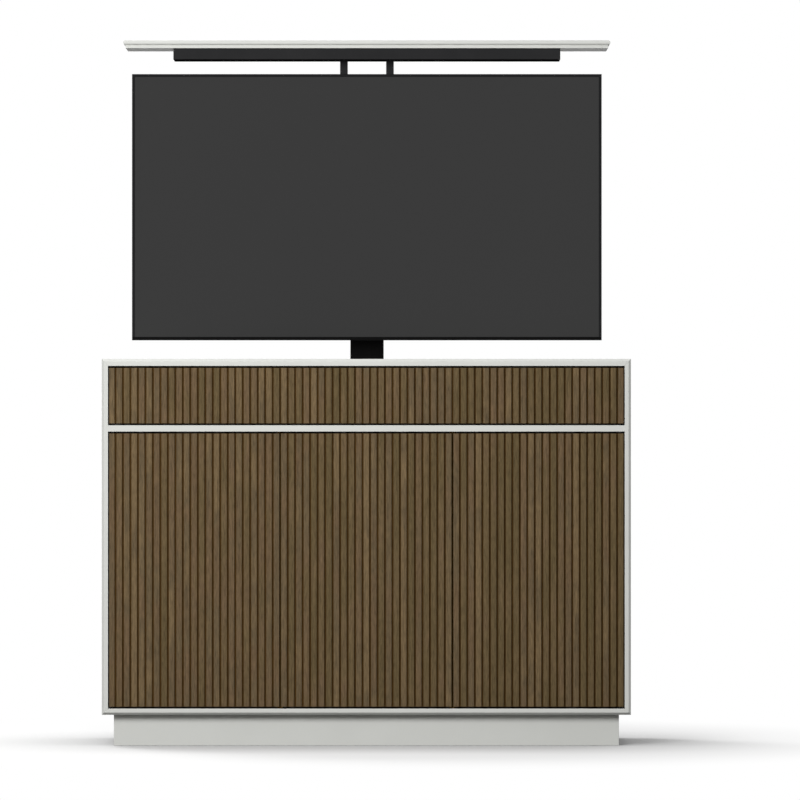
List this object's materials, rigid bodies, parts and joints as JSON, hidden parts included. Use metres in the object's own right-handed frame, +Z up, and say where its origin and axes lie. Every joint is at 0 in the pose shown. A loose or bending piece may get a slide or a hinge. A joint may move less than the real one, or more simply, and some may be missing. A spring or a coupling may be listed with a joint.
{
  "type": "television lift cabinet",
  "caption": "White cabinet with fluted walnut doors and flap; a motorised telescopic column raises a flat television and a lid through a cut-out in its top.",
  "frame": {"origin": "on the floor, in the middle of the cabinet's width and depth", "axes": "+X to the right seen from the front, +Y to the back, +Z up; the doors face -Y"},
  "size_m": [1.356, 0.46, 1.8215],
  "materials": {
    "white_lacquer": "satin white lacquer on board",
    "walnut": "oiled walnut veneer",
    "black_steel": "matt black powder coat",
    "zinc_steel": "bright zinc",
    "cast_aluminium": "as cast",
    "brass": "turned",
    "white_plastic": "plain",
    "dark_plastic": "fine texture",
    "tv_glass": "anti-glare"
  },
  "bodies": {
    "cabinet": {"left_side_panel": "white_lacquer", "right_side_panel": "white_lacquer", "top_panel": "white_lacquer", "bottom_panel": "white_lacquer", "media_shelf": "white_lacquer", "left_partition": "white_lacquer", "right_partition": "white_lacquer", "bay_wall": "white_lacquer", "back_panel": "white_lacquer", "plinth_front": "white_lacquer", "plinth_back": "white_lacquer", "plinth_sides": "white_lacquer", "storage_shelves": "white_lacquer", "shelf_pins": "zinc_steel", "pivot_bushes": "dark_plastic", "base_plate": "black_steel", "lift_bolts": "zinc_steel", "gearbox": "cast_aluminium", "motor": "black_steel", "shaft_bearings": "zinc_steel", "outer_column": "black_steel", "outer_collar": "dark_plastic", "outer_glides": "white_plastic", "wall_bracket": "black_steel", "control_box": "dark_plastic"},
    "middle_stage": {"middle_column": "black_steel", "middle_collar": "dark_plastic", "middle_glides": "white_plastic", "middle_block": "cast_aluminium", "lower_nut": "brass", "upper_bearing": "zinc_steel"},
    "lift_head": {"inner_column": "black_steel", "inner_glides": "white_plastic", "inner_block": "cast_aluminium", "upper_nut": "brass", "head_block": "cast_aluminium", "mount_plate": "black_steel", "cross_rails": "black_steel", "tv_brackets": "black_steel", "mount_bolts": "zinc_steel", "lid_arms": "black_steel", "lid_channel": "black_steel", "lid_screws": "zinc_steel", "lid_core": "white_lacquer", "lid_board": "white_lacquer", "tv_screen": "tv_glass", "tv_bezel": "dark_plastic", "tv_cover": "dark_plastic", "tv_housing": "dark_plastic"},
    "lower_spindle_body": {"lower_spindle": "zinc_steel"},
    "drive_bar_body": {"drive_bar": "zinc_steel"},
    "upper_spindle_body": {"upper_spindle": "zinc_steel"},
    "left_door_body": {"left_door": "walnut", "left_door_pins": "zinc_steel"},
    "centre_door_body": {"centre_door": "walnut", "centre_door_pins": "zinc_steel"},
    "right_door_body": {"right_door": "walnut", "right_door_pins": "zinc_steel"},
    "flap_body": {"flap": "walnut", "flap_pins": "zinc_steel"}
  },
  "joints": [
    {"name": "middle_lift", "type": "slide", "parent": "cabinet", "child": "middle_stage", "axis": [0, 0, 1], "range_m": [-0.4085, 0]},
    {"name": "head_lift", "type": "slide", "parent": "middle_stage", "child": "lift_head", "axis": [0, 0, 1], "range_m": [-0.4085, 0]},
    {"name": "lower_spindle_spin", "type": "hinge", "parent": "cabinet", "child": "lower_spindle_body", "pos_m": [-0.016, 0.141, 0.4], "axis": [0, 0, 1], "continuous": true},
    {"name": "drive_bar_spin", "type": "hinge", "parent": "cabinet", "child": "drive_bar_body", "pos_m": [0.016, 0.141, 0.4], "axis": [0, 0, 1], "continuous": true},
    {"name": "upper_spindle_spin", "type": "hinge", "parent": "middle_stage", "child": "upper_spindle_body", "pos_m": [0.016, 0.141, 0.8], "axis": [0, 0, 1], "continuous": true},
    {"name": "left_door_hinge", "type": "hinge", "parent": "cabinet", "child": "left_door_body", "pos_m": [-0.652, -0.222, 0.45], "axis": [0, 0, -1], "range_deg": [0, 90]},
    {"name": "centre_door_hinge", "type": "hinge", "parent": "cabinet", "child": "centre_door_body", "pos_m": [-0.21117, -0.222, 0.45], "axis": [0, 0, -1], "range_deg": [0, 90]},
    {"name": "right_door_hinge", "type": "hinge", "parent": "cabinet", "child": "right_door_body", "pos_m": [0.652, -0.222, 0.45], "axis": [0, 0, 1], "range_deg": [0, 90]},
    {"name": "flap_hinge", "type": "hinge", "parent": "cabinet", "child": "flap_body", "pos_m": [0, -0.222, 0.834], "axis": [1, 0, 0], "range_deg": [0, 90]}
  ],
  "couplings": [
    {"joint": "head_lift", "follows": "middle_lift", "ratio": 1},
    {"joint": "lower_spindle_spin", "follows": "middle_lift", "rad_per_m": -392.7},
    {"joint": "drive_bar_spin", "follows": "middle_lift", "rad_per_m": 392.7},
    {"joint": "upper_spindle_spin", "follows": "middle_lift", "rad_per_m": 392.7}
  ]
}
